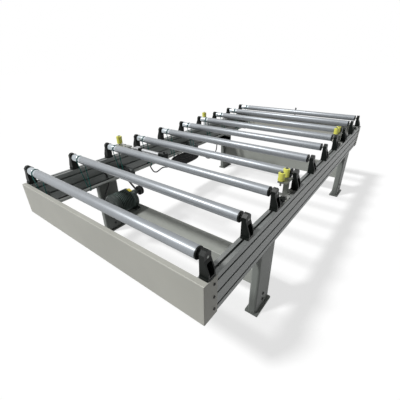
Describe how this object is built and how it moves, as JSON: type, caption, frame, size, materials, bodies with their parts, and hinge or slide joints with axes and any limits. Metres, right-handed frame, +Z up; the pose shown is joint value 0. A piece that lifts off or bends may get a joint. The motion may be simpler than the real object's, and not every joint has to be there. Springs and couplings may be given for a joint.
{
  "type": "roller conveyor",
  "caption": "Powered roller conveyor on four legs: belt-driven rollers between slotted rails, with a gear motor, line shaft, side pushers and guide rollers.",
  "frame": {"origin": "middle of the conveyor on the floor, under the centre of its overall box", "axes": "+X across the conveyor towards the guide rollers, +Y along it away from the drive end, +Z up"},
  "size_m": [1.521, 2.842, 0.7863],
  "materials": {
    "rail": "anodised, satin",
    "cover": "satin powder coat",
    "leg": "satin powder coat",
    "steel_zinc": "zinc plated",
    "roller": "smooth sleeve on steel tube",
    "black_plastic": "moulded nylon, satin",
    "shaft": "ground",
    "cast": "painted",
    "pulley": "machined and blacked",
    "round_belt": "smooth polyurethane cord",
    "v_belt": "matt",
    "motor": "gloss enamel",
    "cowl": "satin",
    "cylinder": "anodised",
    "yellow": "smooth polyurethane",
    "cable": "matt",
    "hose": "smooth"
  },
  "bodies": {
    "frame": {"air_hose_end": "hose", "air_hose_hank": "hose", "air_hose_start": "hose", "bracket_bolts": "steel_zinc", "cable_clips": "black_plastic", "clamp_bars": "steel_zinc", "cover_screws": "steel_zinc", "cross_beam_far": "leg", "cross_beam_near": "leg", "drive_belt": "v_belt", "end_cover_far": "cover", "end_cover_front": "cover", "end_sensor": "black_plastic", "foot_far_left": "leg", "foot_far_right": "leg", "foot_near_left": "leg", "foot_near_right": "leg", "frame_bolts": "steel_zinc", "gear_housing": "motor", "guide_posts": "steel_zinc", "leg_far_left": "leg", "leg_far_right": "leg", "leg_near_left": "leg", "leg_near_right": "leg", "motor_body": "motor", "motor_cable": "cable", "motor_cowl": "cowl", "pusher_barrels": "cylinder", "pusher_caps": "black_plastic", "pusher_mounts": "cylinder", "rail_left": "rail", "rail_right": "rail", "roller_axles": "shaft", "roller_belts": "round_belt", "roller_brackets_left": "black_plastic", "roller_brackets_right": "black_plastic", "shaft_bearings": "cast", "terminal_box": "black_plastic", "valve_box": "black_plastic"},
    "line_shaft": {"line_shaft": "shaft", "driven_pulley": "pulley"},
    "roller_01": {"roller_01": "roller"},
    "roller_02": {"roller_02": "roller"},
    "roller_03": {"roller_03": "roller"},
    "roller_04": {"roller_04": "roller"},
    "roller_05": {"roller_05": "roller"},
    "roller_06": {"roller_06": "roller"},
    "roller_07": {"roller_07": "roller"},
    "roller_08": {"roller_08": "roller"},
    "roller_09": {"roller_09": "roller"},
    "roller_10": {"roller_10": "roller"},
    "motor_pulley": {"motor_pulley": "pulley"},
    "pusher_slide_1": {"pusher_slide_1": "steel_zinc"},
    "pusher_roller_1": {"pusher_roller_1": "yellow"},
    "pusher_slide_2": {"pusher_slide_2": "steel_zinc"},
    "pusher_roller_2": {"pusher_roller_2": "yellow"},
    "guide_roller_1": {"guide_roller_1": "yellow"},
    "guide_roller_2": {"guide_roller_2": "yellow"},
    "guide_roller_3": {"guide_roller_3": "yellow"},
    "guide_roller_4": {"guide_roller_4": "yellow"}
  },
  "joints": [
    {"name": "line_shaft_spin", "type": "hinge", "parent": "frame", "child": "line_shaft", "pos_m": [-0.5495, 0, 0.524], "axis": [0, 1, 0], "continuous": true},
    {"name": "roller_01_spin", "type": "hinge", "parent": "frame", "child": "roller_01", "pos_m": [0.0105, -1.366, 0.74], "axis": [1, 0, 0], "continuous": true},
    {"name": "roller_02_spin", "type": "hinge", "parent": "frame", "child": "roller_02", "pos_m": [0.0105, -1.066, 0.74], "axis": [1, 0, 0], "continuous": true},
    {"name": "roller_03_spin", "type": "hinge", "parent": "frame", "child": "roller_03", "pos_m": [0.0105, -0.766, 0.74], "axis": [1, 0, 0], "continuous": true},
    {"name": "roller_04_spin", "type": "hinge", "parent": "frame", "child": "roller_04", "pos_m": [0.0105, -0.466, 0.74], "axis": [1, 0, 0], "continuous": true},
    {"name": "roller_05_spin", "type": "hinge", "parent": "frame", "child": "roller_05", "pos_m": [0.0105, -0.166, 0.74], "axis": [1, 0, 0], "continuous": true},
    {"name": "roller_06_spin", "type": "hinge", "parent": "frame", "child": "roller_06", "pos_m": [0.0105, 0.134, 0.74], "axis": [1, 0, 0], "continuous": true},
    {"name": "roller_07_spin", "type": "hinge", "parent": "frame", "child": "roller_07", "pos_m": [0.0105, 0.434, 0.74], "axis": [1, 0, 0], "continuous": true},
    {"name": "roller_08_spin", "type": "hinge", "parent": "frame", "child": "roller_08", "pos_m": [0.0105, 0.734, 0.74], "axis": [1, 0, 0], "continuous": true},
    {"name": "roller_09_spin", "type": "hinge", "parent": "frame", "child": "roller_09", "pos_m": [0.0105, 1.034, 0.74], "axis": [1, 0, 0], "continuous": true},
    {"name": "roller_10_spin", "type": "hinge", "parent": "frame", "child": "roller_10", "pos_m": [0.0105, 1.334, 0.74], "axis": [1, 0, 0], "continuous": true},
    {"name": "motor_pulley_spin", "type": "hinge", "parent": "frame", "child": "motor_pulley", "pos_m": [-0.4165, -0.726, 0.415], "axis": [0, 1, 0], "continuous": true},
    {"name": "pusher_1_stroke", "type": "slide", "parent": "frame", "child": "pusher_slide_1", "axis": [1, 0, 0], "range_m": [0, 0.05]},
    {"name": "pusher_roller_1_spin", "type": "hinge", "parent": "pusher_slide_1", "child": "pusher_roller_1", "pos_m": [-0.7335, -0.616, 0.75], "axis": [0, 0, 1], "continuous": true},
    {"name": "pusher_2_stroke", "type": "slide", "parent": "frame", "child": "pusher_slide_2", "axis": [1, 0, 0], "range_m": [0, 0.05]},
    {"name": "pusher_roller_2_spin", "type": "hinge", "parent": "pusher_slide_2", "child": "pusher_roller_2", "pos_m": [-0.7335, 0.584, 0.75], "axis": [0, 0, 1], "continuous": true},
    {"name": "guide_roller_1_spin", "type": "hinge", "parent": "frame", "child": "guide_roller_1", "pos_m": [0.6705, -0.586, 0.755], "axis": [0, 0, 1], "continuous": true},
    {"name": "guide_roller_2_spin", "type": "hinge", "parent": "frame", "child": "guide_roller_2", "pos_m": [0.6705, -0.516, 0.755], "axis": [0, 0, 1], "continuous": true},
    {"name": "guide_roller_3_spin", "type": "hinge", "parent": "frame", "child": "guide_roller_3", "pos_m": [0.6705, 0.614, 0.755], "axis": [0, 0, 1], "continuous": true},
    {"name": "guide_roller_4_spin", "type": "hinge", "parent": "frame", "child": "guide_roller_4", "pos_m": [0.6705, 0.684, 0.755], "axis": [0, 0, 1], "continuous": true}
  ],
  "couplings": [
    {"joint": "roller_01_spin", "follows": "line_shaft_spin", "ratio": -0.5887},
    {"joint": "roller_02_spin", "follows": "line_shaft_spin", "ratio": -0.5887},
    {"joint": "roller_03_spin", "follows": "line_shaft_spin", "ratio": -0.5887},
    {"joint": "roller_04_spin", "follows": "line_shaft_spin", "ratio": -0.5887},
    {"joint": "roller_05_spin", "follows": "line_shaft_spin", "ratio": -0.5887},
    {"joint": "roller_06_spin", "follows": "line_shaft_spin", "ratio": -0.5887},
    {"joint": "roller_07_spin", "follows": "line_shaft_spin", "ratio": -0.5887},
    {"joint": "roller_08_spin", "follows": "line_shaft_spin", "ratio": -0.5887},
    {"joint": "roller_09_spin", "follows": "line_shaft_spin", "ratio": -0.5887},
    {"joint": "roller_10_spin", "follows": "line_shaft_spin", "ratio": -0.5887},
    {"joint": "motor_pulley_spin", "follows": "line_shaft_spin", "ratio": 1.3235}
  ]
}
